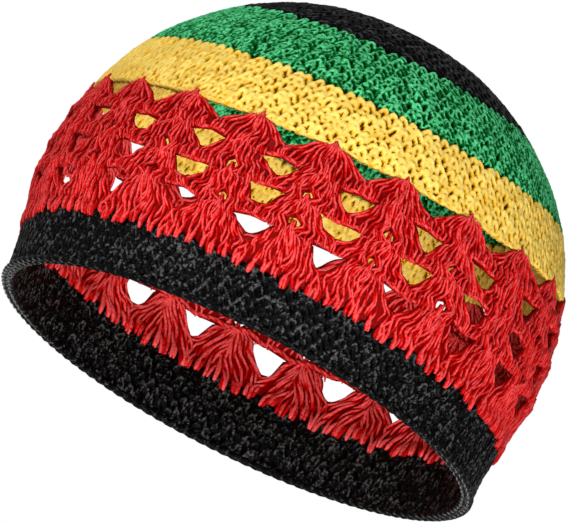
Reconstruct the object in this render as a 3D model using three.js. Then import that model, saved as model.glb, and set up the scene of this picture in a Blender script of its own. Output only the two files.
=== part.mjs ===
import * as THREE from 'three';

// A round crocheted cap in five zones of one fabric, open at the rim.
// Millimetres, +Z towards the crown, origin at the centre of the rim opening, -Y towards the viewer.
// A turn of 0 looks along -Y and a quarter turn along +X.

// Sizes of the cap
const rimRadius = 92;
const fabricThickness = 3;
const seamGap = 0.3;
const headbandHeight = 21.8;
const laceHeight = 55.8;
const yellowHeight = 21.6;
const greenHeight = 23.8;
const crownHeight = 19.7;

// The rim hangs lower at the back than at the front, which stretches the lace there
const rimDip = 9.5;
const rimDipTurn = 163 / 360;

// Shell-stitch lace
const laceColumns = 21;
const firstFanTurn = -3.2 / 360;
const fanRelief = 1.2;
const openingArch = 0.05;

// Flat facets in each fan column, and round each solid band
const columnFacets = 4;
const bandFacets = 66;

// The zones from the rim up: height, facets round, strips up, colour
const zones = [
  { name: 'headband', height: headbandHeight, facets: laceColumns * columnFacets, strips: 2, colour: 0x211c1b },
  { name: 'lace_band', height: laceHeight, colour: 0xbe2525 },
  { name: 'yellow_band', height: yellowHeight, facets: bandFacets, strips: 3, colour: 0xf2c657 },
  { name: 'green_band', height: greenHeight, facets: bandFacets, strips: 3, colour: 0x2f854f },
  { name: 'crown', height: crownHeight, facets: bandFacets, strips: 4, colour: 0x1f1a19 },
];

// Side view of the outside: up is a share of the zone's height, out a share of the rim radius
const outlineRows = [
  { zone: 'headband', up: 0, out: 1 },
  { zone: 'headband', up: 0.5, out: 1.005 },
  { zone: 'lace_band', up: 0, out: 1.022 },
  { zone: 'lace_band', up: 0.25, out: 1.056 },
  { zone: 'lace_band', up: 0.5, out: 1.061 },
  { zone: 'lace_band', up: 0.75, out: 1.043 },
  { zone: 'yellow_band', up: 0, out: 1.005 },
  { zone: 'yellow_band', up: 0.5, out: 0.96 },
  { zone: 'green_band', up: 0, out: 0.899 },
  { zone: 'green_band', up: 0.5, out: 0.8 },
  { zone: 'crown', up: 0, out: 0.66 },
  { zone: 'crown', up: 0.4, out: 0.53 },
  { zone: 'crown', up: 0.77, out: 0.345 },
];

// Rows of fans from the headband up. height is a share of the lace's own height. sill and head are the
// bottom and top of the opening between two fans as shares of the row's height, and the widths are
// shares of a column. A head of 1 leaves the row's top open to the next zone.
const laceRows = [
  { height: 0.325, sill: 0.54, head: 0.92, sillWidth: 0.19, headWidth: 0.43 },
  { height: 0.225, sill: 0.37, head: 0.9, sillWidth: 0.2, headWidth: 0.45 },
  { height: 0.235, sill: 0.42, head: 0.86, sillWidth: 0.18, headWidth: 0.4 },
  { height: 0.215, sill: 0.5, head: 1, sillWidth: 0.16, headWidth: 0.5 },
];

const laceTop = headbandHeight + laceHeight;
const capHeight = laceTop + yellowHeight + greenHeight + crownHeight;

function zoneIndex(name) {
  return zones.findIndex((zone) => zone.name === name);
}

function zoneFloor(name) {
  return zones.slice(0, zoneIndex(name)).reduce((sum, zone) => sum + zone.height, 0);
}

// The outline as one smooth curve from rim to rim over the apex, sampled from the rim to the apex
const samplesPerRow = 24;

function outlineSamples() {
  const rows = outlineRows.map(({ zone, up, out }) => {
    const height = zoneFloor(zone) + up * zones[zoneIndex(zone)].height;
    return new THREE.Vector3(out * rimRadius, 0, height);
  });
  const mirrored = rows.map((row) => new THREE.Vector3(-row.x, 0, row.z));
  const apex = new THREE.Vector3(0, 0, capHeight);
  const curve = new THREE.CatmullRomCurve3([...mirrored, apex, ...rows.toReversed()]);
  const steps = rows.length * samplesPerRow;
  const samples = [];
  let along = 0;
  for (let step = 0; step <= steps; step += 1) {
    const t = 1 - (0.5 * step) / steps;
    const point = curve.getPoint(t);
    const tangent = curve.getTangent(t).negate();
    along += step > 0 ? point.distanceTo(samples[step - 1].point) : 0;
    samples.push({ point, tangent, along });
  }
  return samples;
}

const outline = outlineSamples();

// Where a zone starts along the outline, and its end at the next zone or the apex
function zoneSpan(name) {
  const first = outlineRows.findIndex((row) => row.zone === name);
  const next = outlineRows.findIndex((row) => zoneIndex(row.zone) === zoneIndex(name) + 1);
  const start = outline[first * samplesPerRow].along;
  const end = next < 0 ? outline.at(-1).along : outline[next * samplesPerRow].along;
  return { start, end };
}

// Radius, height and outward normal of the outside at a distance along the outline
function outlineAt(along) {
  const reached = Math.min(along, outline.at(-1).along);
  const above = Math.max(1, outline.findIndex((sample) => sample.along >= reached));
  const [low, high] = [outline[above - 1], outline[above]];
  const share = (reached - low.along) / (high.along - low.along);
  const point = low.point.clone().lerp(high.point, share);
  const tangent = low.tangent.clone().lerp(high.tangent, share).normalize();
  return { radius: point.x, height: point.z, normalOut: tangent.z, normalUp: -tangent.x };
}

// A point of the fabric: share of a turn from the first fan, distance along the outline and depth
// below the outside
function place(turn, along, depth) {
  const { radius, height, normalOut, normalUp } = outlineAt(along);
  const angle = 2 * Math.PI * (firstFanTurn + turn);
  const fade = Math.max(0, 1 - height / laceTop);
  const dip = rimDip * fade * Math.cos(angle - 2 * Math.PI * rimDipTurn);
  const out = radius - depth * normalOut;
  return [out * Math.sin(angle), -out * Math.cos(angle), height - depth * normalUp - dip];
}

// Corners nearer to each other than one part in this many are one corner
const keySteps = 1e6;

// Makes a closed wall from patches of the outside. A patch is a list of corners, anticlockwise from
// outside, each with a turn, a distance along the outline and how far it stands proud.
function wallGeometry(patches) {
  const indices = new Map();
  const positions = [];
  const faces = [];
  const cornerIndex = ({ turn, along, proud = 0 }) => {
    const key = `${Math.round(turn * keySteps) % keySteps} ${Math.round(along * keySteps)}`;
    if (!indices.has(key)) {
      indices.set(key, indices.size);
      positions.push(...place(turn, along, -proud), ...place(turn, along, fabricThickness));
    }
    return indices.get(key);
  };
  const rings = patches.map((patch) => patch.map(cornerIndex));
  const edges = new Set(rings.flatMap((ring) => ring.map((a, i) => `${a} ${ring[(i + 1) % ring.length]}`)));
  for (const ring of rings) {
    for (let i = 1; i < ring.length - 1; i += 1) {
      faces.push(2 * ring[0], 2 * ring[i], 2 * ring[i + 1]);
      faces.push(2 * ring[0] + 1, 2 * ring[i + 1] + 1, 2 * ring[i] + 1);
    }
    ring.forEach((a, i) => {
      const b = ring[(i + 1) % ring.length];
      if (!edges.has(`${b} ${a}`)) {
        faces.push(2 * a, 2 * a + 1, 2 * b + 1);
        faces.push(2 * a, 2 * b + 1, 2 * b);
      }
    });
  }
  const geometry = new THREE.BufferGeometry();
  geometry.setAttribute('position', new THREE.Float32BufferAttribute(positions, 3));
  geometry.setIndex(faces);
  geometry.computeVertexNormals();
  return geometry;
}

// Strips of flat facets between two distances along the outline. The last strip closes at the apex.
function solidPatches({ facets, strips }, start, end, closed) {
  const patches = [];
  for (let strip = 0; strip < strips; strip += 1) {
    const low = start + ((end - start) * strip) / strips;
    const high = start + ((end - start) * (strip + 1)) / strips;
    for (let facet = 0; facet < facets; facet += 1) {
      const left = facet / facets;
      const right = (facet + 1) / facets;
      const base = [{ turn: left, along: low }, { turn: right, along: low }];
      const roof = closed && strip === strips - 1
        ? [{ turn: 0, along: high }]
        : [{ turn: right, along: high }, { turn: left, along: high }];
      patches.push([...base, ...roof]);
    }
  }
  return patches;
}

// The frame of one cell between two fans' centre lines, as shares across and up, anticlockwise
function cellFrame() {
  const across = Array.from({ length: columnFacets }, (_, i) => i / columnFacets);
  return [
    ...across.map((a) => ({ across: a, up: 0 })),
    { across: 1, up: 0 },
    { across: 1, up: 0.5 },
    ...across.map((a) => ({ across: 1 - a, up: 1 })),
    { across: 0, up: 1 },
    { across: 0, up: 0.5 },
  ];
}

// The point of an opening's edge that faces a point of the cell's frame
function openingPoint({ across, up }, { sill, head, sillWidth, headWidth }) {
  const width = THREE.MathUtils.lerp(sillWidth, headWidth, up);
  const arch = head < 1 && up === 1 ? openingArch * (1 - (2 * across - 1) ** 2) : 0;
  return { across: 0.5 + (across - 0.5) * width, up: THREE.MathUtils.lerp(sill, head, up) + arch };
}

// Fans stand proud along their centre lines, where their legs lie in a bundle
function fanProud(across) {
  return fanRelief * (2 * across - 1) ** 2;
}

function lacePatches(start, end) {
  const patches = [];
  const frame = cellFrame();
  let low = start;
  for (const row of laceRows) {
    const rise = row.height * (end - start);
    for (let column = 0; column < laceColumns; column += 1) {
      const corner = ({ across, up }) => ({
        turn: (column + across) / laceColumns,
        along: low + up * rise,
        proud: fanProud(across),
      });
      frame.forEach((point, i) => {
        const next = frame[(i + 1) % frame.length];
        const openTop = row.head === 1 && point.up === 1 && next.up === 1;
        if (!openTop) {
          const inner = [openingPoint(next, row), openingPoint(point, row)];
          patches.push([point, next, ...inner].map(corner));
        }
      });
    }
    low += rise;
  }
  return patches;
}

function zoneMesh(zone, index) {
  const { start, end } = zoneSpan(zone.name);
  const isFirst = index === 0;
  const isLast = index === zones.length - 1;
  const low = isFirst ? start : start + seamGap / 2;
  const high = isLast ? end : end - seamGap / 2;
  const patches = zone.name === 'lace_band'
    ? lacePatches(low, high)
    : solidPatches(zone, low, high, isLast);
  const material = new THREE.MeshStandardMaterial({ color: zone.colour, roughness: 0.85, metalness: 0 });
  const mesh = new THREE.Mesh(wallGeometry(patches), material);
  mesh.name = zone.name;
  return mesh;
}

const cap = new THREE.Group();
cap.add(...zones.map(zoneMesh));

export default cap;
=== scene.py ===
"""A round crocheted cap in black, red, yellow and green yarn, seen from under its rim.

Every length is in millimetres until a mesh is made. A point of the cap is given by its turn round the
axis (a share of a full turn from the viewer's side towards +X), its distance along the outline from the
rim to the apex, and its depth below the outside of the fabric.
"""
import math

import bpy
import numpy as np
from mathutils import Matrix, Vector


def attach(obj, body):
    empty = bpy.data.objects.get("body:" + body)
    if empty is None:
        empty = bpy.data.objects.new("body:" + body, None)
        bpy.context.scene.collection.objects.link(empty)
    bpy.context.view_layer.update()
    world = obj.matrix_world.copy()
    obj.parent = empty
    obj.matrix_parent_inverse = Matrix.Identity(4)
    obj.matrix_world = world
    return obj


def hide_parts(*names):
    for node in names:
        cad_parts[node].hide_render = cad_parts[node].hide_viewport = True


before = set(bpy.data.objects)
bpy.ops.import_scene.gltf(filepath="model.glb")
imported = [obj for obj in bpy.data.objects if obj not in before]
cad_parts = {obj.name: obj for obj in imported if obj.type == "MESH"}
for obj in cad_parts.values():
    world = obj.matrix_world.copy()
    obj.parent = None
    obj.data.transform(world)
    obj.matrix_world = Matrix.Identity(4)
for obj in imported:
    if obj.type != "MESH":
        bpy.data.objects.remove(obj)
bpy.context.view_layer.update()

MM = 0.001
TURN = 2 * math.pi

# Sizes of the cap
RIM_RADIUS = 92
FABRIC = 3
SEAM_GAP = 0.3
HEIGHTS = {
    "headband": 21.8,
    "lace_band": 55.8,
    "yellow_band": 21.6,
    "green_band": 23.8,
    "crown": 19.7,
}

# The rim hangs lower at the back than at the front, by its dip each way from the average plane, and lowest
# at this share of a turn
RIM_DIP = 9.5
RIM_DIP_TURN = 163 / 360

# Lace: columns of fans, and the first one's place as a share of a turn
COLUMNS = 21
FIRST_FAN = -3.2 / 360

# Strands of a fan: its legs and the points along a leg, by row from the headband up, the plies of yarn in
# a leg, and a ply's radius and number of flat sides
LEGS = (14, 11, 11, 11)
LEG_STEPS = (15, 12, 12, 12)
PLIES = 3
STRAND_RADIUS = 0.62
STRAND_SIDES = 5

# Side view of the outside: zone, share of the zone's height, share of the rim radius
OUTLINE = [
    ("headband", 0, 1),
    ("headband", 0.5, 1.005),
    ("lace_band", 0, 1.022),
    ("lace_band", 0.25, 1.056),
    ("lace_band", 0.5, 1.061),
    ("lace_band", 0.75, 1.043),
    ("yellow_band", 0, 1.005),
    ("yellow_band", 0.5, 0.96),
    ("green_band", 0, 0.899),
    ("green_band", 0.5, 0.8),
    ("crown", 0, 0.66),
    ("crown", 0.4, 0.53),
    ("crown", 0.77, 0.345),
]

# Rows of fans from the headband up. height is a share of the lace's height, sill and head are the bottom
# and top of the openings as shares of the row's height, and the widths are shares of a column. The top
# row's openings run on to the next zone.
LACE_ROWS = [
    {"height": 0.325, "sill": 0.54, "head": 0.92, "sill_width": 0.19, "head_width": 0.43},
    {"height": 0.225, "sill": 0.37, "head": 0.9, "sill_width": 0.2, "head_width": 0.45},
    {"height": 0.235, "sill": 0.42, "head": 0.86, "sill_width": 0.18, "head_width": 0.4},
    {"height": 0.215, "sill": 0.5, "head": 0.91, "sill_width": 0.16, "head_width": 0.5},
]

# How the legs of each row run. peak is where they gather, slope is how much lower the outer legs gather,
# reach is how far the middle legs run up over the row above, slit is how far they part over the gather
# below, pinch is how much narrower the fan's head is than the opening beside it would make it, under is
# how much deeper the outer legs start, in millimetres, where the feet of the row above lie over them, and
# stray is how unevenly the legs gather.
GATHERS = [
    {"peak": 1.02, "slope": 0.08, "reach": 0.14, "slit": 0, "pinch": 0, "under": 1.7, "stray": 0.04},
    {"peak": 1.02, "slope": 0.08, "reach": 0.3, "slit": 0.13, "pinch": 0, "under": 1.7, "stray": 0.04},
    {"peak": 1.02, "slope": 0.08, "reach": 0.5, "slit": 0.13, "pinch": 0, "under": 1.7, "stray": 0.04},
    {"peak": 1.1, "slope": 0.12, "reach": 0.08, "slit": 0, "pinch": 0.04, "under": 0, "stray": 0.012},
]
for row, gather in zip(LACE_ROWS, GATHERS):
    row.update(gather)

# Crochet stitches of the solid zones: width and rise of a stitch, radius of its yarn, floor of the crevices
# against the yarn's middle, and how far the stitches stray from regular places
STITCHES = {
    "headband": {"width": 4.4, "rise": 2.7, "yarn": 0.85, "floor": -0.4, "loose": 1.4},
    "yellow_band": {"width": 4.1, "rise": 2.6, "yarn": 0.9, "floor": -0.4, "loose": 1.2},
    "green_band": {"width": 3.9, "rise": 2.6, "yarn": 0.74, "floor": -0.5, "loose": 1.35},
    "crown": {"width": 4.9, "rise": 3.1, "yarn": 1.1, "floor": 0.0, "loose": 1.0},
}

# Yarn of a stitch: how proud it stands, how much its top is flattened (2 is round), how far above that
# the painted highlight of a crest would be full, and how far a round reaches past its edges in radii of its
# yarn
YARN_HEIGHT = 0.95
FLATNESS = 3.2
CREST_MARGIN = 0.1
ROUND_REACH = 2

# One stitch is an arch of yarn: across and up as shares of its width and rise, and proud in millimetres
STITCH_ARCH = [
    {"across": -0.37, "up": -0.2, "proud": -0.12},
    {"across": -0.2, "up": 0.7, "proud": 0.06},
    {"across": 0.0, "up": 0.95, "proud": 0.14},
    {"across": 0.2, "up": 0.7, "proud": 0.06},
    {"across": 0.37, "up": -0.2, "proud": -0.12},
]

# How far a stitch of looseness 1 strays at random: across, up and in lift in millimetres, in thickness as
# a share, and in lean and shear in millimetres for each millimetre
STRAY = {"across": 0.4, "up": 0.34, "lift": 0.14, "thick": 0.1, "lean": 0.32, "shear": 0.2}
STITCH_DRAWS = 7

# Each round of stitches starts this share of a stitch further on than the last, and has no fewer than this
ROUND_SHIFT = (0.1, 0.45)
FEWEST_STITCHES = 6
SMALLEST_RADIUS = 2.0
NO_YARN = -1.0

# Edges of the solid zones: how far the headband stops short of the rim, which its chains finish, how far
# the top round laps over the next zone as a share of its rise, and how deep and how soon its crevices
# reach down between the next zone's stitches
RIM_TRIM = 0.4
TOP_LAP = 0.45
LAP_DEPTH = 0.9
LAP_RAMP = 0.8

# Rings of the crown's outside: shares of its length along the outline, points round and number of rings
CROWN_PARTS = [
    {"low": 0, "high": 0.42, "points": 648, "rings": 44},
    {"low": 0.42, "high": 0.72, "points": 324, "rings": 34},
    {"low": 0.72, "high": 0.985, "points": 108, "rings": 28},
]
CROWN_INSIDE = {"high": 0.97, "rings": 32, "points": 324, "narrow": 0.6, "narrow_points": 108}
# Depth of the apex below the outside, and its colour level, a painted shade at the crown's centre
APEX_DEPTH = 0.4
APEX_SHADE_LEVEL = 0.3

# Yarns: painted shade deep between the strands, colour along their flanks, and painted highlight on their
# crests; on the black yarn the crest colour makes painted glints. The crown is of the black yarn too, in a
# copy with a darker painted crest highlight and less gloss, so it shines less.
YARNS = {
    "black_yarn": ((0.0003, 0.0003, 0.0003), (0.0014, 0.0012, 0.0012), (0.088, 0.085, 0.085)),
    # A copy of the black yarn with a darker painted crest highlight, for the crown
    "dimmed_black_yarn": ((0.0003, 0.0003, 0.0003), (0.0018, 0.0016, 0.0016), (0.075, 0.072, 0.072)),
    "red_yarn": ((0.21, 0.0, 0.0), (0.54, 0.002, 0.002), (0.93, 0.12, 0.12)),
    "yellow_yarn": ((0.1, 0.03, 0.0), (0.77, 0.39, 0.008), (1.0, 0.75, 0.18)),
    "green_yarn": ((0.0, 0.004, 0.0), (0.0, 0.12, 0.018), (0.12, 0.74, 0.3)),
}

# Finish and painted light: roughness and gloss of the surface, fineness of the fibres, how far they mottle
# the colour, depth of their bumps, and the levels at which a strand has its flank's colour and its crest's
# painted highlight
FINISH_AND_LIGHT_COLUMNS = ("roughness", "gloss", "fineness", "mottling", "bumps", "flank", "crest")
FINISHES_AND_LIGHT = {
    "black_yarn": (0.36, 0.06, 1050, 0.8, 1.0, 0.78, 0.96),
    "dimmed_black_yarn": (0.45, 0.03, 1050, 0.8, 1.0, 0.78, 0.96),
    "red_yarn": (0.5, 0.05, 1100, 0.6, 0.4, 0.62, 0.95),
    "yellow_yarn": (0.6, 0.02, 1000, 0.5, 0.4, 0.53, 0.88),
    "green_yarn": (0.5, 0.02, 1000, 0.8, 0.4, 0.66, 0.9),
}

# Level of the painted shade deep between the strands, how much of a level comes from the strand's shape,
# the level that is added everywhere, the bumps' height in metres, the detail of the fibres' noise, and
# the brightness of the darkest and the lightest stitches
DEEP_SHADE_LEVEL = 0.18
SHAPE_LEVEL = 0.75
BASE_LEVEL = 0.1
BUMP_HEIGHT = 0.0004
FIBRE_DETAIL = 3
TINTS = (0.85, 1.08)

ZONES = list(HEIGHTS)
FLOORS = {zone: sum(HEIGHTS[z] for z in ZONES[:i]) for i, zone in enumerate(ZONES)}
CAP_HEIGHT = sum(HEIGHTS.values())
LACE_TOP = FLOORS["yellow_band"]

# Samples of the outline's curve from one of its rows to the next
SAMPLES_PER_ROW = 24


# Outline and surface

def curve_piece(knots, share):
    """Points and tangents of a centripetal Catmull-Rom curve between the middle two of four knots."""
    p0, p1, p2, p3 = knots
    gaps = [np.linalg.norm(b - a) ** 0.5 for a, b in ((p0, p1), (p1, p2), (p2, p3))]
    leave = gaps[1] * ((p1 - p0) / gaps[0] - (p2 - p0) / (gaps[0] + gaps[1]) + (p2 - p1) / gaps[1])
    arrive = gaps[1] * ((p2 - p1) / gaps[1] - (p3 - p1) / (gaps[1] + gaps[2]) + (p3 - p2) / gaps[2])
    squared = 3 * (p2 - p1) - 2 * leave - arrive
    cubed = 2 * (p1 - p2) + leave + arrive
    points = p1 + leave * share + squared * share**2 + cubed * share**3
    tangents = leave + 2 * squared * share + 3 * cubed * share**2
    return points, tangents


def outline_curve():
    """Radius and height, tangent and distance along the outside, from the rim to the apex."""
    rows = [(out * RIM_RADIUS, FLOORS[zone] + up * HEIGHTS[zone]) for zone, up, out in OUTLINE]
    apex = (0.0, CAP_HEIGHT)
    over = [(-r, z) for r, z in reversed(rows)]
    knots = np.array(rows + [apex] + over, float)
    knots = np.vstack([2 * knots[0] - knots[1], knots])
    share = (np.arange(SAMPLES_PER_ROW) / SAMPLES_PER_ROW)[:, None]
    pieces = [curve_piece(knots[i:i + 4], share) for i in range(len(rows))]
    points = np.vstack([points for points, _ in pieces] + [np.array([apex])])
    tangents = np.vstack([tangents for _, tangents in pieces] + [np.array([[-1.0, 0.0]])])
    tangents /= np.linalg.norm(tangents, axis=1)[:, None]
    steps = np.linalg.norm(np.diff(points, axis=0), axis=1)
    return points, tangents, np.concatenate([[0], np.cumsum(steps)])


CURVE, TANGENTS, ALONG = outline_curve()


def zone_span(zone):
    """Where a zone starts and ends along the outline."""
    first = [name for name, _, _ in OUTLINE].index(zone)
    after = [i for i, row in enumerate(OUTLINE) if ZONES.index(row[0]) == ZONES.index(zone) + 1]
    end = ALONG[after[0] * SAMPLES_PER_ROW] if after else ALONG[-1]
    return ALONG[first * SAMPLES_PER_ROW], end


def radius_at(along):
    return np.interp(along, ALONG, CURVE[:, 0])


def surface(turn, along, depth):
    """Points of the cap, in millimetres."""
    turn, along, depth = np.broadcast_arrays(turn, along, depth)
    radius, height = radius_at(along), np.interp(along, ALONG, CURVE[:, 1])
    out, up = np.interp(along, ALONG, TANGENTS[:, 1]), -np.interp(along, ALONG, TANGENTS[:, 0])
    fade = np.clip(1 - height / LACE_TOP, 0, None)
    dip = RIM_DIP * fade * np.cos(TURN * (turn - RIM_DIP_TURN))
    reach = radius - depth * out
    angle = TURN * turn
    return np.stack([reach * np.sin(angle), -reach * np.cos(angle), height - depth * up - dip], -1)


# Meshes

def make_piece(name, points, faces, attributes, yarn, *nodes):
    """A piece of the cap that replaces nodes, from points in millimetres and lists of face corners, one
    list for each size of face."""
    mesh = bpy.data.meshes.new(name)
    corners = np.concatenate([block.ravel() for block in faces])
    sizes = np.concatenate([np.full(len(block), block.shape[1]) for block in faces])
    mesh.vertices.add(len(points))
    mesh.vertices.foreach_set("co", (points * MM).astype(np.float32).ravel())
    mesh.loops.add(len(corners))
    mesh.loops.foreach_set("vertex_index", corners.astype(np.int32))
    mesh.polygons.add(len(sizes))
    mesh.polygons.foreach_set("loop_start", (np.cumsum(sizes) - sizes).astype(np.int32))
    mesh.polygons.foreach_set("use_smooth", np.ones(len(sizes), bool))
    mesh.update(calc_edges=True)
    for key, values in attributes.items():
        layer = mesh.attributes.new(key, "FLOAT", "POINT")
        layer.data.foreach_set("value", values.astype(np.float32))
    mesh.materials.append(MATERIALS[yarn])
    piece = bpy.data.objects.new(name, mesh)
    bpy.context.scene.collection.objects.link(piece)
    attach(piece, "root")
    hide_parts(*nodes)
    return piece


def bridge(first, count, second, after):
    """Faces between a ring of count points and the next ring of as many or fewer points."""
    ratio = count // after
    k = np.arange(after)
    low = [first + (k * ratio + i) % count for i in range(ratio + 1)]
    left, right = second + k, second + (k + 1) % after
    middle = ratio // 2
    quads = np.stack([low[middle], low[middle + 1], right, left], 1)
    sides = []
    for i in range(ratio):
        if i != middle:
            sides.append(np.stack([low[i], low[i + 1], left if i < middle else right], 1))
    return quads, sides


def ring_mesh(rings, closed):
    """Points, faces and joined attributes of a stack of rings. A closed stack joins its last ring to its
    first, and any other ends in a point."""
    starts = np.cumsum([0] + [len(ring["points"]) for ring in rings])
    quads, tris = [], []
    pairs = list(zip(range(len(rings) - 1), range(1, len(rings))))
    pairs += [(len(rings) - 1, 0)] if closed else []
    for a, b in pairs:
        n, m = len(rings[a]["points"]), len(rings[b]["points"])
        if n >= m > 1:
            middle, sides = bridge(starts[a], n, starts[b], m)
        elif m == 1:
            k = np.arange(n)
            middle = None
            sides = [np.stack([starts[a] + k, starts[a] + (k + 1) % n, np.full(n, starts[b])], 1)]
        elif n == 1:
            k = np.arange(m)
            middle = None
            sides = [np.stack([starts[b] + (k + 1) % m, starts[b] + k, np.full(m, starts[a])], 1)]
        else:
            middle, sides = bridge(starts[b], m, starts[a], n)
            middle, sides = middle[:, ::-1], [side[:, ::-1] for side in sides]
        quads += [] if middle is None else [middle]
        tris += sides
    keys = rings[0]["attributes"]
    points = np.vstack([ring["points"] for ring in rings])
    attributes = {key: np.concatenate([ring["attributes"][key] for ring in rings]) for key in keys}
    return points, [np.vstack(quads)] + ([np.vstack(tris)] if tris else []), attributes


# Height on the cap's axis that strands turn their backs to, and a length that keeps divisions safe
CORE_HEIGHT = 0.35 * CAP_HEIGHT
TINY = 1e-9

# Colour level of a strand at its sides, a painted shade, and how much painted highlight its crest adds
STRAND_SIDE_SHADE = 0.35
STRAND_HIGHLIGHT = 0.9


def rings_round(paths, tangent, sides):
    """Directions from each point of a path to the points of a ring round it, the first one outwards."""
    tangent = tangent / (np.linalg.norm(tangent, axis=-1, keepdims=True) + TINY)
    outward = paths - np.array([0, 0, CORE_HEIGHT])
    normal = outward - (outward * tangent).sum(-1, keepdims=True) * tangent
    normal /= np.linalg.norm(normal, axis=-1, keepdims=True) + TINY
    side = np.cross(tangent, normal)
    angle = TURN * np.arange(sides) / sides
    return np.cos(angle)[:, None] * normal[..., None, :] + np.sin(angle)[:, None] * side[..., None, :]


def tube_mesh(paths, radii, sides, attributes):
    """Closed tubes along paths of shape (tubes, steps, 3), with an attribute value for each path point."""
    tubes, steps, _ = paths.shape
    ring = rings_round(paths, np.gradient(paths, axis=1), sides)
    points = (paths[:, :, None] + radii[:, :, None, None] * ring).reshape(-1, 3)
    # Painted highlight where a strand faces out or in, painted shade along its sides
    crest = np.abs(np.cos(TURN * np.arange(sides) / sides))
    crest = np.broadcast_to(crest, (tubes, steps, sides)).ravel()
    base = (np.arange(tubes) * steps * sides)[:, None, None]
    j = np.arange(steps - 1)[None, :, None] * sides
    k = np.arange(sides)[None, None]
    nxt = (k + 1) % sides
    quads = np.stack([base + j + k, base + j + nxt, base + j + sides + nxt, base + j + sides + k], -1)
    start = base[:, 0] + np.arange(sides)[::-1]
    end = base[:, 0] + (steps - 1) * sides + np.arange(sides)
    spread = {key: np.repeat(values.ravel(), sides) for key, values in attributes.items()}
    spread["painted_light_level"] = np.clip(spread["painted_light_level"] * (STRAND_SIDE_SHADE + STRAND_HIGHLIGHT * crest), 0, 1)
    return points, quads.reshape(-1, 4), np.vstack([start, end]), spread


# Crochet stitches of the solid zones

def stitch_relief(turns, along, rows, style):
    """Height of the yarn over the fabric's middle layer and shade, for points of one ring. rows lists each
    round of stitches."""
    best = np.full(turns.shape, NO_YARN)
    shade = np.zeros(turns.shape)
    radius = max(float(radius_at(along)), SMALLEST_RADIUS)
    yarn, loose = style["yarn"], style["loose"]
    for row in rows:
        rise = row["rise"]
        y = along - row["start"]
        if not -ROUND_REACH * yarn < y < rise + ROUND_REACH * yarn:
            continue
        count = row["count"]
        width = TURN * radius / count
        place = turns * count - row["phase"]
        arch = [(knot["across"] * width, knot["up"] * rise, knot["proud"]) for knot in STITCH_ARCH]
        for step in (-1, 0, 1):
            j = np.floor(place).astype(int) + step
            across, up, thick, lift, tint, lean, shear = row["random"][j % count].T
            x = (place - j - 0.5) * width + loose * (STRAY["across"] * across + STRAY["lean"] * lean * y)
            yy = y + loose * (STRAY["up"] * up + STRAY["shear"] * shear * x)
            reach = yarn * (1 + STRAY["thick"] * loose * thick)
            raised = STRAY["lift"] * loose * lift
            for (ax, ay, az), (bx, by, bz) in zip(arch[:-1], arch[1:]):
                dx, dy = bx - ax, by - ay
                t = np.clip(((x - ax) * dx + (yy - ay) * dy) / (dx * dx + dy * dy), 0, 1)
                share = np.hypot(x - ax - t * dx, yy - ay - t * dy) / reach
                round_top = np.sqrt(np.clip(1 - share**FLATNESS, 0, None))
                z = round_top * YARN_HEIGHT + az + (bz - az) * t + raised
                z = np.where(share < 1, z, NO_YARN)
                hit = z > best
                best = np.where(hit, z, best)
                shade = np.where(hit, tint, shade)
    return best, shade


def stitch_rows(zone, rng):
    """The rounds of stitches of a zone from its lower edge up."""
    style = STITCHES[zone]
    start, end = zone_span(zone)
    number = max(1, round((end - start) / style["rise"]))
    step = (end - start) / number
    rows, phase = [], 0.0
    for k in range(number):
        radius = float(radius_at(start + (k + 0.5) * step))
        count = max(FEWEST_STITCHES, round(TURN * radius / style["width"]))
        phase += rng.uniform(*ROUND_SHIFT)
        rows.append({
            "start": start + k * step,
            "rise": step,
            "count": count,
            "phase": phase,
            "random": rng.uniform(-1, 1, (count, STITCH_DRAWS)),
        })
    return rows


def relief_ring(count, along, rows, side, style, under=0.0):
    """One ring of a solid zone. side is 0 on the outside and 1 on the inside of the fabric. under is how
    far the crevices reach below their floor, where a neighbour's yarn lies under this zone's."""
    turns = np.arange(count) / count
    z, shade = stitch_relief(turns if side == 0 else 1 - turns, along, rows, style)
    floor = style["floor"] - under
    z = np.maximum(z, floor)
    proud = z - YARN_HEIGHT
    depth = -proud if side == 0 else FABRIC + proud
    # Painted light: painted shade deep in the crevices between stitches, rising to painted highlight on the
    # yarn's tops
    painted_light_level = np.clip((z - floor) / (YARN_HEIGHT + CREST_MARGIN - floor), 0, 1)
    return {
        "points": surface(FIRST_FAN + turns, along, depth),
        "attributes": {"painted_light_level": painted_light_level, "shade": shade},
    }


def plain_ring(count, along, depth, painted_light_level):
    """One ring without stitches."""
    turns = FIRST_FAN + np.arange(count) / count
    flat = np.zeros(count)
    return {
        "points": surface(turns, along, depth),
        "attributes": {"painted_light_level": flat + painted_light_level, "shade": flat},
    }


def solid_zone(name, zone, yarn, outside, inside, rng):
    """A solid-stitch zone. outside and inside are (points round, rings up). The outside's top round laps
    over the zone above."""
    style = STITCHES[zone]
    rows = stitch_rows(zone, rng)
    start, end = zone_span(zone)
    low = start + (RIM_TRIM if zone == "headband" else SEAM_GAP / 2)
    high = end + TOP_LAP * style["rise"]
    rings = []
    for along in np.linspace(low, high, outside[1]):
        under = LAP_DEPTH * np.clip((along - end) / LAP_RAMP, 0, 1)
        rings.append(relief_ring(outside[0], along, rows, 0, style, under))
    for along in np.linspace(end - SEAM_GAP / 2, low, inside[1]):
        rings.append(relief_ring(inside[0], along, rows, 1, style))
    points, faces, attributes = ring_mesh(rings, True)
    return make_piece(name, points, faces, attributes, yarn, zone)


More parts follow.
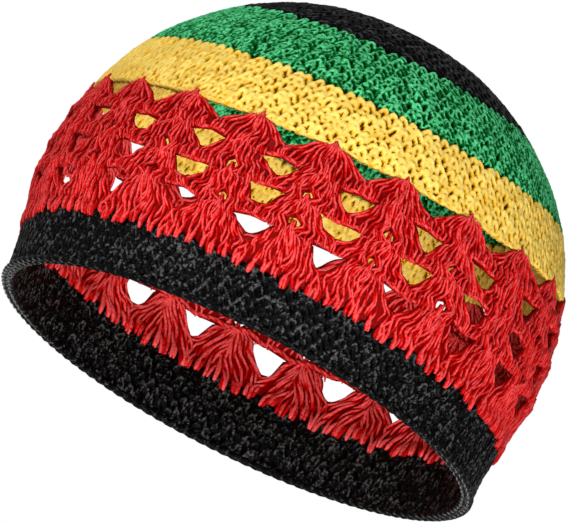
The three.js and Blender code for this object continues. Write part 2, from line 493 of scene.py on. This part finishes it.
def crown(rng):
    """The crown's disc of rounds, with fewer points round it towards the centre."""
    style = STITCHES["crown"]
    rows = stitch_rows("crown", rng)
    start, end = zone_span("crown")
    start += SEAM_GAP / 2
    rings = []
    for part in CROWN_PARTS:
        for share in np.linspace(part["low"], part["high"], part["rings"], endpoint=False):
            rings.append(relief_ring(part["points"], start + share * (end - start), rows, 0, style))
    rings.append(plain_ring(1, end, APEX_DEPTH, APEX_SHADE_LEVEL))
    inner = [plain_ring(1, end, FABRIC - APEX_DEPTH, APEX_SHADE_LEVEL)]
    for share in np.linspace(CROWN_INSIDE["high"], 0, CROWN_INSIDE["rings"]):
        count = CROWN_INSIDE["narrow_points"] if share > CROWN_INSIDE["narrow"] else CROWN_INSIDE["points"]
        inner.append(relief_ring(count, start + share * (end - start), rows, 1, style))
    outer_points, outer_faces, outer_attributes = ring_mesh(rings, False)
    inner_points, inner_faces, inner_attributes = ring_mesh(inner, False)
    shift = len(outer_points)
    last = shift + len(inner_points) - CROWN_INSIDE["points"]
    quads, sides = bridge(0, CROWN_PARTS[0]["points"], last, CROWN_INSIDE["points"])
    seam = [quads[:, ::-1]] + [side[:, ::-1] for side in sides]
    faces = outer_faces + [block + shift for block in inner_faces] + seam
    points = np.vstack([outer_points, inner_points])
    attributes = {
        key: np.concatenate([outer_attributes[key], inner_attributes[key]]) for key in outer_attributes
    }
    return make_piece("crown_stitches", points, faces, attributes, "dimmed_black_yarn", "crown")


# Lace

# Outline of a fan: half its width at the foot and at the gather as shares of a column. Shares of a row are
# how far its foot lies below the row, how far below the sill it starts to narrow, and how much its corners
# are rounded.
FULL_HALF = 0.5
GATHER_HALF = 0.03
FAN_FOOT = 0.3
FAN_SHOULDER = 0.12
CORNER_BLUR = 0.05

# Slow drift of the lace: how far in millimetres, waves round the cap, and the waves' slope in radians for
# each millimetre along the outline and their phase in radians
DRIFT_ROUND = [
    {"far": 0.7, "waves": 5, "slope": 0.11, "phase": 0},
    {"far": 0.6, "waves": 13, "slope": -0.19, "phase": 2},
    {"far": 0.5, "waves": 33, "slope": 0.4, "phase": 3},
]
DRIFT_UP = [
    {"far": 0.6, "waves": 8, "slope": 0.16, "phase": 1},
    {"far": 0.5, "waves": 17, "slope": 0, "phase": 4},
    {"far": 0.55, "waves": 44, "slope": -0.3, "phase": 5},
]

# The drift sets in over the first of these lengths above the lace's lower edge, and fades over the second
# up to the third past its upper edge
DRIFT_IN = 8
DRIFT_OUT = 10
DRIFT_PAST = 3

# Legs of a fan across it: how unevenly they are spread, and their width at the gather as a share of that
# at the feet. The outer legs follow the openings, by a power of their place from the middle out. They stay
# inside the openings' edges, in millimetres, by another power, from how far below the sill and over which
# length as shares of a row.
LEG_SPREAD = 0.06
GATHER_SHARE = 0.06
FOLLOW_POWER = 1.4
INSET = 1.5
INSET_POWER = 3
INSET_START = 0.15
INSET_LENGTH = 0.25

# The slit between the middle legs: where it starts and how long it is, as shares of a row
SLIT_START = 0.02
SLIT_LENGTH = 0.42
SLIT_POWER = 3

# The middle legs' reach over the row above falls off with this power of their place, and what is special
# at a leg's gather fades down the leg with this one
REACH_POWER = 1.5
GATHER_POWER = 3

# Legs sway along their length, the outer ones more, and lie a little beside their place, in millimetres
SWAY = 0.35
BESIDE = 0.25

# Feet, as shares of a row: those of the bottom row hang over the headband in pairs, and the others lap
# over the row below, furthest where their legs are at a set place in the fan
HANG = {"least": 0.02, "spread": 0.16, "stray": 0.02}
LAP = {"least": 0.06, "most": 0.24, "place": 0.4, "reach": 0.17, "stray": 0.05}

# Where the feet's ends and the bottom feet's grip on the headband set in, and over which share of a leg
ENDS = {"start": 0.8, "length": 0.2}
GRIP = {"start": 0.68, "length": 0.22, "pair": 0.85, "proud": 1.65}

# Twist of a leg's plies in turns along the leg, how many times that in the bottom row, and where it ends
TWIST = (0.6, 1.25)
BOTTOM_TWIST = 1.3
TWIST_END = 0.82

# How far a leg's plies lie from its middle: at the gather, how much more further down, in the bottom row
# and in the others, how soon, how much less at the feet's ends, and how far they lie proud
BUNDLE = {"gather": 0.3, "bottom": 0.95, "other": 0.8, "open": 2.2, "ends": 0.4, "proud": 0.85}

# How proud the legs lie at their gathers, how much more the feet of all but the bottom row do, where that
# sets in and over which share of a leg, how far their ends sink in, and how unevenly the legs lie
OVER = {"gather": 0.9, "feet": 0.8, "start": 0.62, "length": 0.2, "sink": 0.4, "stray": 0.25}

# A strand gets thinner towards its gather and its end, thicker where it grips and narrow at its tip, which
# starts at this share of the way down. All the rest are shares of its radius.
TIP = 0.99
THIN = {"gather": 0.2, "ends": 0.2, "grip": 0.5, "tip": 0.45, "stray": 0.1}

# Colour level of a ply at the sides of its bundle, a painted shade, and how much painted highlight it gains
# in front and behind
PLY_SIDE_SHADE = 0.4
PLY_HIGHLIGHT = 0.6


def lace_row_spans():
    """Distance along the outline where each row of fans starts and ends, from the headband up."""
    start, end = zone_span("lace_band")
    edges = np.concatenate([[0], np.cumsum([row["height"] for row in LACE_ROWS])])
    return [(start + a * (end - start), start + b * (end - start)) for a, b in zip(edges[:-1], edges[1:])]


def smooth(x):
    """A soft step from 0 to 1."""
    x = np.clip(x, 0, 1)
    return x * x * (3 - 2 * x)


def fan_half_width(row, up):
    """Half the width of a fan at a share of its row's height, as a share of a column."""
    sill_half = FULL_HALF - row["sill_width"] / 2
    head_half = FULL_HALF - row["head_width"] / 2 - row["pinch"]
    levels = [-FAN_FOOT, row["sill"] - FAN_SHOULDER, row["sill"], row["head"], row["peak"]]
    widths = [FULL_HALF, FULL_HALF, sill_half, head_half, GATHER_HALF]
    near = [np.interp(up + step, levels, widths) for step in (-CORNER_BLUR, 0, 0, CORNER_BLUR)]
    return sum(near) / len(near)


def drift(waves, turn, along):
    """How far the lace is from its regular place, in millimetres."""
    return sum(w["far"] * np.sin(TURN * w["waves"] * turn + w["slope"] * along + w["phase"]) for w in waves)


def lace_surface(turn, along, depth):
    """Points of the lace, which wanders a little because hand work is never quite regular."""
    start, end = zone_span("lace_band")
    hold = smooth((along - start) / DRIFT_IN) * smooth((end + DRIFT_PAST - along) / DRIFT_OUT)
    shift_round = hold * drift(DRIFT_ROUND, turn, along)
    shift_up = hold * drift(DRIFT_UP, turn, along)
    return surface(turn + shift_round / (TURN * radius_at(along)), along + shift_up, depth)


def leg_lines(row, is_bottom, legs, s, width, rng):
    """Middle lines of a fan's legs, from the gather to the foot: each leg's number, its side of the fan and
    its place from the middle out, the line's height as a share of the row, and its place across as a share
    of a column. s is the share of the way down a leg."""
    order = np.arange(legs)[:, None, None]
    leg = 2 * order / (legs - 1) - 1 + LEG_SPREAD * rng.uniform(-1, 1, (legs, 1, 1))
    hand = np.where(leg < 0, -1, 1)
    side = np.clip(np.abs(leg), 0, 1)

    reach = row["reach"] * (1 - side)**REACH_POWER
    stray = row["stray"] * rng.uniform(-1, 1, (legs, PLIES, 1))
    peak = row["peak"] - row["slope"] * side + reach + stray
    hang = HANG["least"] + HANG["spread"] * rng.uniform(0, 1, legs)[order // 2]
    hang = hang + HANG["stray"] * rng.uniform(-1, 1, (legs, PLIES, 1))
    lap = LAP["least"] + LAP["most"] * np.exp(-((side - LAP["place"]) / LAP["reach"])**2)
    lap = lap + LAP["stray"] * rng.uniform(-1, 1, (legs, PLIES, 1))
    foot = -hang if is_bottom else -lap
    up = peak + (foot - peak) * s

    inner = FULL_HALF * (GATHER_SHARE + (1 - GATHER_SHARE) * s) * leg
    outer = hand * side * fan_half_width(row, up)
    inset = INSET * smooth((up - row["sill"] + INSET_START) / INSET_LENGTH)
    centre = inner + (outer - inner) * side**FOLLOW_POWER - hand * side**INSET_POWER * inset / width
    gap = row["slit"] * np.sin(math.pi * np.clip((up - SLIT_START) / SLIT_LENGTH, 0, 1))
    centre = centre + hand * gap * (1 - side)**SLIT_POWER
    sway = (SWAY + SWAY * side) * rng.uniform(-1, 1, (legs, 1, 1)) * np.sin(math.pi * s)
    centre = centre + (sway + BESIDE * rng.uniform(-1, 1, (legs, 1, 1))) / width
    return order, hand, side, up, centre


def fan_strands(row_index, column, span, rng):
    """Strands of one fan: each leg is a twisted bundle that runs from the gather at the top, past the
    openings, to the foot of the row. Gives turn, along, depth, radius, painted light level and shade."""
    row = LACE_ROWS[row_index]
    low, high = span
    is_bottom = row_index == 0
    legs, steps = LEGS[row_index], LEG_STEPS[row_index]
    width = TURN * radius_at((low + high) / 2) / COLUMNS
    s = np.linspace(0, 1, steps)[None, None]
    ply = np.arange(PLIES)[None, :, None]
    order, hand, side, up, centre = leg_lines(row, is_bottom, legs, s, width, rng)

    # The feet of the bottom row join in pairs, and grip the headband from both sides
    ends = smooth((s - ENDS["start"]) / ENDS["length"])
    grip = smooth((s - GRIP["start"]) / GRIP["length"]) if is_bottom else 0 * s
    centre = centre + grip * GRIP["pair"] * (0.5 - order % 2) / (legs - 1)
    twist = rng.uniform(*TWIST, (legs, 1, 1)) * hand * (BOTTOM_TWIST if is_bottom else 1)
    spin = TURN * (ply / PLIES + rng.uniform(0, 1, (legs, 1, 1)) + twist * np.minimum(s, TWIST_END))
    face = np.where(np.sin(spin[:, :, -1:]) > 0, 1, -1)
    opened = BUNDLE["bottom" if is_bottom else "other"] * smooth(s * BUNDLE["open"])
    wide = BUNDLE["gather"] + opened - BUNDLE["ends"] * ends
    across = centre + wide * np.cos(spin) / width
    over = (OVER["gather"] - row["under"] * side) * (1 - s)**GATHER_POWER
    if not is_bottom:
        over = over + OVER["feet"] * smooth((s - OVER["start"]) / OVER["length"])
    over = over - OVER["sink"] * (ends - grip * ends)
    proud = BUNDLE["proud"] * np.sin(spin) * (1 - grip) + GRIP["proud"] * face * grip + over
    proud = proud + OVER["stray"] * rng.uniform(-1, 1, (legs, 1, 1)) * (1 - grip)

    radius = STRAND_RADIUS * (1 - THIN["gather"] * (1 - s)**GATHER_POWER)
    radius = radius * (1 - THIN["ends"] * ends + THIN["grip"] * grip) * (1 - THIN["tip"] * (s > TIP))
    radius = radius * (1 + THIN["stray"] * rng.uniform(-1, 1, (legs, PLIES, 1)))
    values = [
        FIRST_FAN + (column + across) / COLUMNS,
        low + (high - low) * up,
        FABRIC / 2 - proud,
        radius,
        # Painted shade on plies at the sides of a bundle, painted highlight on those in front and behind
        PLY_SIDE_SHADE + PLY_HIGHLIGHT * np.abs(np.sin(spin)),
        rng.uniform(-1, 1, (legs, PLIES, 1)),
    ]
    shape = (legs, PLIES, steps)
    return [np.broadcast_to(value, shape).reshape(legs * PLIES, steps) for value in values]


def lace_piece(row_index, span, rng):
    """One row of fans as one mesh of yarn strands."""
    strands = [fan_strands(row_index, column, span, rng) for column in range(COLUMNS)]
    turn, along, depth, radius, painted_light_level, shade = (np.vstack(values) for values in zip(*strands))
    paths = lace_surface(turn, along, depth)
    attributes = {"painted_light_level": painted_light_level, "shade": shade}
    points, quads, caps, spread = tube_mesh(paths, radius, STRAND_SIDES, attributes)
    return make_piece(f"lace_row_{row_index + 1}", points, [quads, caps], spread, "red_yarn", "lace_band")


# The dark sheet inside the fans, painted shade between the strands: half its thickness, its colour level
# and shade, its points from a fan's middle to its edge and up an opening, and how far inside the opening's
# edge it stays as a share of a column
WEB_HALF = 0.2
WEB_SHADE_LEVEL = -0.4
WEB_ACROSS = 5
WEB_UP = 8
WEB_MARGIN = 0.02

# Levels of the sheet as shares of a row: its foot in the bottom row and in the others, two levels that the
# slit goes through, and how far below the sill and above the head the last full ones are. The slit is cut
# where a level lies in its range, and half its width is a share of a column.
WEB_FEET = (-0.008, 0.02)
WEB_LOWER = (0.12, 0.25)
WEB_BELOW_SILL = 0.05
WEB_ABOVE_HEAD = 0.02
WEB_SLIT = {"from": 0.1, "to": 0.3, "half": 0.06}

# Corners of the sheet are one where they agree to one part in this many of a turn and of a millimetre
TURN_KEYS = 100000
ALONG_KEYS = 1000


def lace_shade_sheet(spans):
    """The dark inside of the fans, a thin sheet of painted shade that the strands lie on, cut out at every
    opening.
    """
    levels, clear, slit = [], [], []
    for row, (low, high) in zip(LACE_ROWS, spans):
        is_top = row is LACE_ROWS[-1]
        sill, head = row["sill"], row["head"]
        foot = WEB_FEET[0] if row is LACE_ROWS[0] else WEB_FEET[1]
        opening = np.linspace(sill, 1 if is_top else head, WEB_UP)
        above = [] if is_top else [head + WEB_ABOVE_HEAD]
        for up in np.concatenate([[foot, *WEB_LOWER, sill - WEB_BELOW_SILL], opening, above]):
            is_open = sill <= up and (is_top or up <= head)
            has_slit = row["slit"] and WEB_SLIT["from"] < up < WEB_SLIT["to"]
            levels.append(low + up * (high - low))
            clear.append(FULL_HALF - fan_half_width(row, up) + WEB_MARGIN if is_open else 0.0)
            slit.append(WEB_SLIT["half"] if has_slit else 0.0)
    levels, clear, slit = np.array(levels), np.array(clear), np.array(slit)
    share = np.linspace(0, 1, WEB_ACROSS)
    half = slit[:, None] + (FULL_HALF - clear - slit)[:, None] * share
    cells = []
    for column in range(COLUMNS):
        for sign in (1, -1):
            turn = (column + sign * half) / COLUMNS
            grid = np.stack([turn, np.broadcast_to(levels[:, None], turn.shape)], -1)
            quad = np.stack([grid[:-1, :-1], grid[:-1, 1:], grid[1:, 1:], grid[1:, :-1]], 2)
            quad = quad.reshape(-1, 4, 2)
            cells.append(quad if sign > 0 else quad[:, ::-1])
    cells = np.vstack(cells)
    keys = np.round(cells.reshape(-1, 2) * [TURN_KEYS, ALONG_KEYS]).astype(int)
    keys[:, 0] %= TURN_KEYS
    _, first, index = np.unique(keys, axis=0, return_index=True, return_inverse=True)
    faces = index.reshape(-1, 4)
    flat = cells.reshape(-1, 2)[first]
    count = len(flat)
    edges = np.vstack([faces[:, [i, (i + 1) % 4]] for i in range(4)])
    both = set(map(tuple, edges.tolist()))
    rim = np.array([edge for edge in edges.tolist() if (edge[1], edge[0]) not in both])
    walls = np.stack([rim[:, 1], rim[:, 0], rim[:, 0] + count, rim[:, 1] + count], 1)
    depths = (FABRIC / 2 - WEB_HALF, FABRIC / 2 + WEB_HALF)
    points = np.vstack([lace_surface(FIRST_FAN + flat[:, 0], flat[:, 1], depth) for depth in depths])
    attributes = {key: np.full(len(points), WEB_SHADE_LEVEL) for key in ("painted_light_level", "shade")}
    quads = np.vstack([faces, faces[:, ::-1] + count, walls])
    return make_piece("lace_shade_sheet", points, [quads], attributes, "red_yarn", "lace_band")


# Chains of yarn round the cap: strands, how far they twist from the chain's middle, their radius, and how
# deep that middle lies below the outside. All but the first are lengths in millimetres.
LACE_CHAIN = {"strands": 3, "reach": 0.6, "thick": 0.55, "middle": FABRIC / 2}
YELLOW_CHAIN = {"strands": 2, "reach": 0.35, "thick": 0.6, "middle": 0.9}
RIM_CHAIN = {"strands": 2, "reach": 0.4, "thick": 0.95}
RIM_CHAIN_DEPTH = 0.35

# Where the chains lie along the outline against their zone's or row's lower edge
LACE_CHAIN_RISE = -0.2
YELLOW_CHAIN_RISE = 0.5
RIM_CHAIN_RISE = 1.1

# Points of a chain in each column, sides of its strands and twists in each column
CHAIN_STEPS = 14
CHAIN_SIDES = 6
CHAIN_TWISTS = 3

# How much deeper the lace's chains lie behind the fans, and from where between two fans, as shares of a
# column
BEHIND_DEPTH = 0.9
BEHIND_START = 0.34
BEHIND_RAMP = 0.12

# Colour level of a chain at its sides, a painted shade, how much painted highlight it gains in front and
# behind, and its range of random shades
CHAIN_SIDE_SHADE = 0.45
CHAIN_HIGHLIGHT = 0.55
CHAIN_SHADES = (-0.5, 0.5)


def edge_chain(name, along, yarn, node, rng, strands, reach, thick, middle):
    """A twisted chain of yarn that runs right round the cap. The lace's chains show only over the openings
    and lie behind the fans elsewhere."""
    steps = COLUMNS * CHAIN_STEPS
    share = np.arange(steps) / steps
    from_fan = np.abs((share * COLUMNS + 0.5) % 1 - 0.5)
    if node == "lace_band":
        middle = middle + BEHIND_DEPTH * smooth((BEHIND_START - from_fan) / BEHIND_RAMP)
    points, quads, attributes = [], [], {"painted_light_level": [], "shade": []}
    j, k = np.meshgrid(np.arange(steps), np.arange(CHAIN_SIDES), indexing="ij")
    j2, k2 = (j + 1) % steps, (k + 1) % CHAIN_SIDES
    corners = [(j, k), (j, k2), (j2, k2), (j2, k)]
    quad = np.stack([a * CHAIN_SIDES + b for a, b in corners], -1).reshape(-1, 4)
    for strand in range(strands):
        spin = TURN * (strand / strands + share * COLUMNS * CHAIN_TWISTS)
        path = lace_surface(FIRST_FAN + share, along + reach * np.cos(spin), middle - reach * np.sin(spin))
        ring = rings_round(path, np.roll(path, -1, 0) - np.roll(path, 1, 0), CHAIN_SIDES)
        points.append((path[:, None] + thick * ring).reshape(-1, 3))
        quads.append(strand * steps * CHAIN_SIDES + quad)
        # Painted shade on each strand's sides, painted highlight in front and behind
        painted_light_level = np.clip(CHAIN_SIDE_SHADE + CHAIN_HIGHLIGHT * np.abs(np.sin(spin)), 0, 1)
        attributes["painted_light_level"].append(np.repeat(painted_light_level, CHAIN_SIDES))
        attributes["shade"].append(np.full(steps * CHAIN_SIDES, rng.uniform(*CHAIN_SHADES)))
    joined = {key: np.concatenate(values) for key, values in attributes.items()}
    return make_piece(name, np.vstack(points), [np.vstack(quads)], joined, yarn, node)


# Materials

def yarn_material(name, colours, finish_and_light):
    """Yarn whose colour runs from painted shade deep between the strands to painted highlights on their
    crests, mottled by its fibres.
    """
    deep_shade, flank, crest = colours
    finish_and_light = dict(zip(FINISH_AND_LIGHT_COLUMNS, finish_and_light))
    material = bpy.data.materials.new(name)
    material.use_nodes = True
    nodes, links = material.node_tree.nodes, material.node_tree.links
    shader = nodes["Principled BSDF"]
    shader.inputs["Roughness"].default_value = finish_and_light["roughness"]
    shader.inputs["Specular IOR Level"].default_value = finish_and_light["gloss"]

    coordinates = nodes.new("ShaderNodeTexCoord")
    fibre = nodes.new("ShaderNodeTexNoise")
    fibre.inputs["Scale"].default_value = finish_and_light["fineness"]
    fibre.inputs["Detail"].default_value = FIBRE_DETAIL
    links.new(coordinates.outputs["Object"], fibre.inputs["Vector"])

    painted_light_level = nodes.new("ShaderNodeAttribute")
    painted_light_level.attribute_name = "painted_light_level"
    mottle = nodes.new("ShaderNodeMath")
    mottle.operation = "MULTIPLY_ADD"
    mottle.inputs[1].default_value = finish_and_light["mottling"]
    mottle.inputs[2].default_value = BASE_LEVEL - 0.5 * finish_and_light["mottling"]
    links.new(fibre.outputs["Fac"], mottle.inputs[0])
    layer = nodes.new("ShaderNodeMath")
    layer.operation = "MULTIPLY_ADD"
    layer.inputs[1].default_value = SHAPE_LEVEL
    links.new(painted_light_level.outputs["Fac"], layer.inputs[0])
    links.new(mottle.outputs["Value"], layer.inputs[2])
    # Painted shade deep between the strands, the flank's colour, and painted highlight on the crests; on
    # the black yarns the fibres' mottling lifts some points to the crest colour as painted glints
    ramp = nodes.new("ShaderNodeValToRGB")
    ramp.color_ramp.elements[0].position = DEEP_SHADE_LEVEL
    ramp.color_ramp.elements[0].color = (*deep_shade, 1)
    ramp.color_ramp.elements[1].position = finish_and_light["crest"]
    ramp.color_ramp.elements[1].color = (*crest, 1)
    middle = ramp.color_ramp.elements.new(finish_and_light["flank"])
    middle.color = (*flank, 1)
    links.new(layer.outputs["Value"], ramp.inputs["Fac"])

    shade = nodes.new("ShaderNodeAttribute")
    shade.attribute_name = "shade"
    value = nodes.new("ShaderNodeMapRange")
    value.inputs["From Min"].default_value = -1
    value.inputs["To Min"].default_value = TINTS[0]
    value.inputs["To Max"].default_value = TINTS[1]
    links.new(shade.outputs["Fac"], value.inputs["Value"])
    tone = nodes.new("ShaderNodeHueSaturation")
    links.new(ramp.outputs["Color"], tone.inputs["Color"])
    links.new(value.outputs["Result"], tone.inputs["Value"])
    links.new(tone.outputs["Color"], shader.inputs["Base Color"])

    bump = nodes.new("ShaderNodeBump")
    bump.inputs["Strength"].default_value = finish_and_light["bumps"]
    bump.inputs["Distance"].default_value = BUMP_HEIGHT
    links.new(fibre.outputs["Fac"], bump.inputs["Height"])
    links.new(bump.outputs["Normal"], shader.inputs["Normal"])
    return material


MATERIALS = {name: yarn_material(name, colours, FINISHES_AND_LIGHT[name]) for name, colours in YARNS.items()}

# Points round and rings up of the solid zones, outside and inside
SOLID_ZONES = {
    "headband": {"outside": (1050, 34), "inside": (1050, 28)},
    "yellow_band": {"outside": (1020, 52), "inside": (1020, 28)},
    "green_band": {"outside": (930, 60), "inside": (465, 26)},
}
SEED = 22

rng = np.random.default_rng(SEED)
solid_zone("headband_stitches", "headband", "black_yarn", **SOLID_ZONES["headband"], rng=rng)
solid_zone("yellow_stitches", "yellow_band", "yellow_yarn", **SOLID_ZONES["yellow_band"], rng=rng)
solid_zone("green_stitches", "green_band", "green_yarn", **SOLID_ZONES["green_band"], rng=rng)
crown(rng)
spans = lace_row_spans()
lace_shade_sheet(spans)
for row_index, span in enumerate(spans):
    lace_piece(row_index, span, rng)
for number, span in enumerate(spans[1:], 1):
    row_start = span[0] + LACE_CHAIN_RISE
    edge_chain(f"lace_chain_{number}", row_start, "red_yarn", "lace_band", rng, **LACE_CHAIN)
edge = zone_span("yellow_band")[0] + YELLOW_CHAIN_RISE
edge_chain("yellow_edge_chain", edge, "yellow_yarn", "yellow_band", rng, **YELLOW_CHAIN)
rim = zone_span("headband")[0] + RIM_CHAIN_RISE
for place, depth in (("outside", RIM_CHAIN_DEPTH), ("inside", FABRIC - RIM_CHAIN_DEPTH)):
    edge_chain(f"rim_chain_{place}", rim, "black_yarn", "headband", rng, **RIM_CHAIN, middle=depth)


# Camera, floor and light

# The photo's view: it looks up at the cap, rolled, from a distance in millimetres, and shows the axis at
# the look height at the look pixel
VIEW_ELEVATION = math.radians(-9.9)
VIEW_ROLL = math.radians(25.16)
VIEW_DISTANCE = 1918
LOOK_HEIGHT = 0.42 * CAP_HEIGHT
PIXELS_PER_MM = 2.808
PHOTO_WIDTH, PHOTO_HEIGHT = 569, 523
LOOK_PIXEL = (305.6, 242.7)
SENSOR = 36
CLIP_END = 20

# Floor: how far below the cap in millimetres, half its width in metres, its colour and roughness
FLOOR_DROP = 2500
FLOOR_HALF_WIDTH = 12
FLOOR_COLOUR = (0.95, 0.95, 0.95, 1)
FLOOR_ROUGHNESS = 0.9

# Strength of the even light from all round, and the lamps: place and size in metres, power in watts
AMBIENT = 0.33
LAMPS = {
    "key": {"place": (-0.75, -1.2, 1.1), "power": 14, "size": 0.3},
    "fill": {"place": (-1.3, -1.1, -0.1), "power": 5, "size": 0.4},
    "under": {"place": (0.3, -0.95, -0.75), "power": 16, "size": 0.4},
    "back": {"place": (-0.3, 1.8, -0.3), "power": 7, "size": 0.8},
}
WHITE = (1, 1, 1, 1)


def add_camera():
    """The camera of the photo's view."""
    data = bpy.data.cameras.new("camera")
    camera = bpy.data.objects.new("camera", data)
    bpy.context.scene.collection.objects.link(camera)
    data.sensor_width = SENSOR
    data.lens = SENSOR * PIXELS_PER_MM * VIEW_DISTANCE / PHOTO_WIDTH
    data.clip_end = CLIP_END
    forward = Vector((0, math.cos(VIEW_ELEVATION), -math.sin(VIEW_ELEVATION)))
    level, above = Vector((1, 0, 0)), Vector((0, math.sin(VIEW_ELEVATION), math.cos(VIEW_ELEVATION)))
    right = math.cos(VIEW_ROLL) * level + math.sin(VIEW_ROLL) * above
    up = math.cos(VIEW_ROLL) * above - math.sin(VIEW_ROLL) * level
    shift_right = (PHOTO_WIDTH / 2 - LOOK_PIXEL[0]) / PIXELS_PER_MM
    shift_up = (LOOK_PIXEL[1] - PHOTO_HEIGHT / 2) / PIXELS_PER_MM
    place = Vector((0, 0, LOOK_HEIGHT)) - VIEW_DISTANCE * forward + shift_right * right + shift_up * up
    camera.matrix_world = Matrix((
        (right.x, up.x, -forward.x, place.x * MM),
        (right.y, up.y, -forward.y, place.y * MM),
        (right.z, up.z, -forward.z, place.z * MM),
        (0, 0, 0, 1),
    ))
    bpy.context.scene.camera = camera


def add_floor():
    """A plain floor far below the cap."""
    material = bpy.data.materials.new("floor")
    material.use_nodes = True
    shader = material.node_tree.nodes["Principled BSDF"]
    shader.inputs["Base Color"].default_value = FLOOR_COLOUR
    shader.inputs["Roughness"].default_value = FLOOR_ROUGHNESS
    mesh = bpy.data.meshes.new("floor")
    far = FLOOR_HALF_WIDTH
    mesh.from_pydata([(-far, -far, 0), (far, -far, 0), (far, far, 0), (-far, far, 0)], [], [(0, 1, 2, 3)])
    mesh.materials.append(material)
    floor = bpy.data.objects.new("floor", mesh)
    floor.location = (0, 0, -FLOOR_DROP * MM)
    bpy.context.scene.collection.objects.link(floor)


def add_light(name, place, power, size):
    """A square lamp that faces the cap."""
    data = bpy.data.lights.new(name, "AREA")
    data.energy, data.size = power, size
    light = bpy.data.objects.new(name, data)
    bpy.context.scene.collection.objects.link(light)
    light.location = place
    target = Vector((0, 0, LOOK_HEIGHT * MM))
    light.rotation_euler = (target - Vector(place)).to_track_quat("-Z", "Y").to_euler()


def add_world():
    """Even light from all round, in front of a white backdrop."""
    world = bpy.data.worlds.new("studio")
    world.use_nodes = True
    nodes, links = world.node_tree.nodes, world.node_tree.links
    seen = nodes["Background"]
    seen.inputs["Color"].default_value = WHITE
    glow = nodes.new("ShaderNodeBackground")
    glow.inputs["Color"].default_value = WHITE
    glow.inputs["Strength"].default_value = AMBIENT
    rays = nodes.new("ShaderNodeLightPath")
    mix = nodes.new("ShaderNodeMixShader")
    links.new(rays.outputs["Is Camera Ray"], mix.inputs["Fac"])
    links.new(glow.outputs["Background"], mix.inputs[1])
    links.new(seen.outputs["Background"], mix.inputs[2])
    links.new(mix.outputs["Shader"], nodes["World Output"].inputs["Surface"])
    bpy.context.scene.world = world


add_camera()
add_floor()
add_world()
for name, lamp in LAMPS.items():
    add_light(name, **lamp)
bpy.context.scene.view_settings.view_transform = "Standard"
